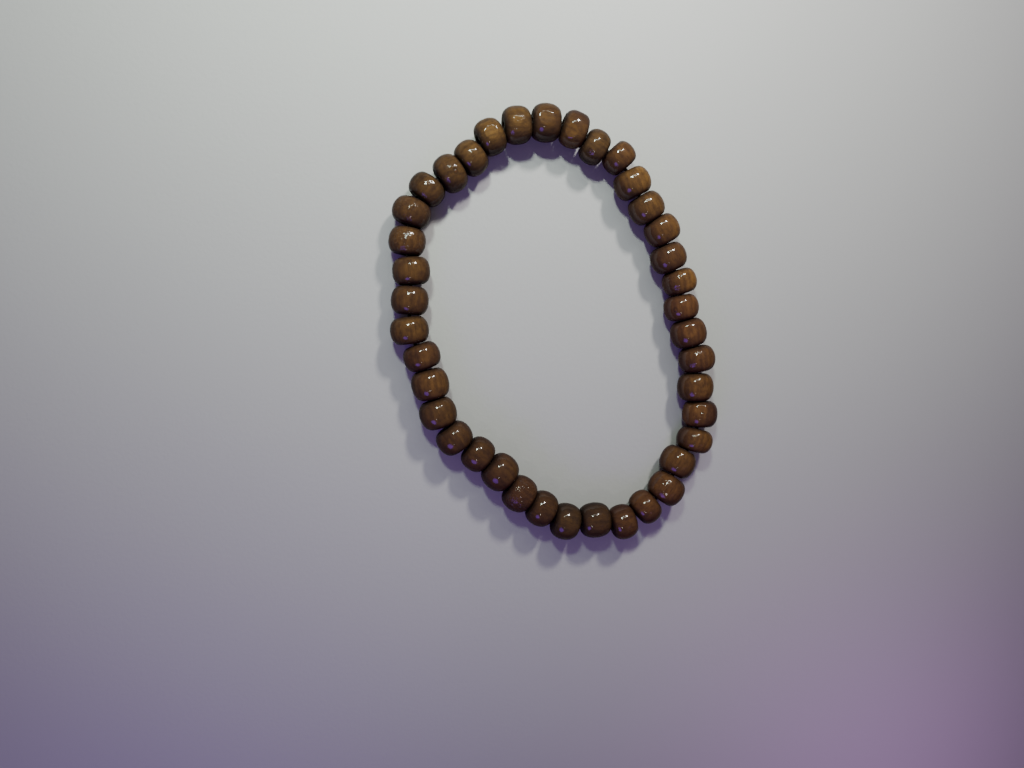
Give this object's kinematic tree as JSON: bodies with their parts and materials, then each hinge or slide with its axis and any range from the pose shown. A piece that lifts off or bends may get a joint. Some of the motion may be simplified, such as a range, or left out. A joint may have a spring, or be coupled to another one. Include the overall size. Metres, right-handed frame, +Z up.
{
  "type": "wooden bead bracelet",
  "caption": "Stretch bracelet: a closed loop of drilled, lacquered wooden barrel beads threaded end to end on an elastic cord, lying flat.",
  "frame": {"origin": "centre of the bounding box at the level of the surface on which the beads rest", "axes": "+Z up from that surface, +Y towards the upper end of the loop's long way, +X to the right as seen from above"},
  "size_m": [0.0574, 0.074, 0.0066],
  "materials": {
    "bead_wood": "brown stain under a glossy clear lacquer",
    "elastic": "matt dark elastic"
  },
  "bodies": {
    "root": {"bead_01": "bead_wood", "bead_02": "bead_wood", "bead_03": "bead_wood", "bead_04": "bead_wood", "bead_05": "bead_wood", "bead_06": "bead_wood", "bead_07": "bead_wood", "bead_08": "bead_wood", "bead_09": "bead_wood", "bead_10": "bead_wood", "bead_11": "bead_wood", "bead_12": "bead_wood", "bead_13": "bead_wood", "bead_14": "bead_wood", "bead_15": "bead_wood", "bead_16": "bead_wood", "bead_17": "bead_wood", "bead_18": "bead_wood", "bead_19": "bead_wood", "bead_20": "bead_wood", "bead_21": "bead_wood", "bead_22": "bead_wood", "bead_23": "bead_wood", "bead_24": "bead_wood", "bead_25": "bead_wood", "bead_26": "bead_wood", "bead_27": "bead_wood", "bead_28": "bead_wood", "bead_29": "bead_wood", "bead_30": "bead_wood", "bead_31": "bead_wood", "bead_32": "bead_wood", "bead_33": "bead_wood", "bead_34": "bead_wood", "bead_35": "bead_wood", "bead_36": "bead_wood", "bead_37": "bead_wood", "bead_38": "bead_wood", "bead_39": "bead_wood", "elastic_cord": "elastic"}
  },
  "joints": []
}
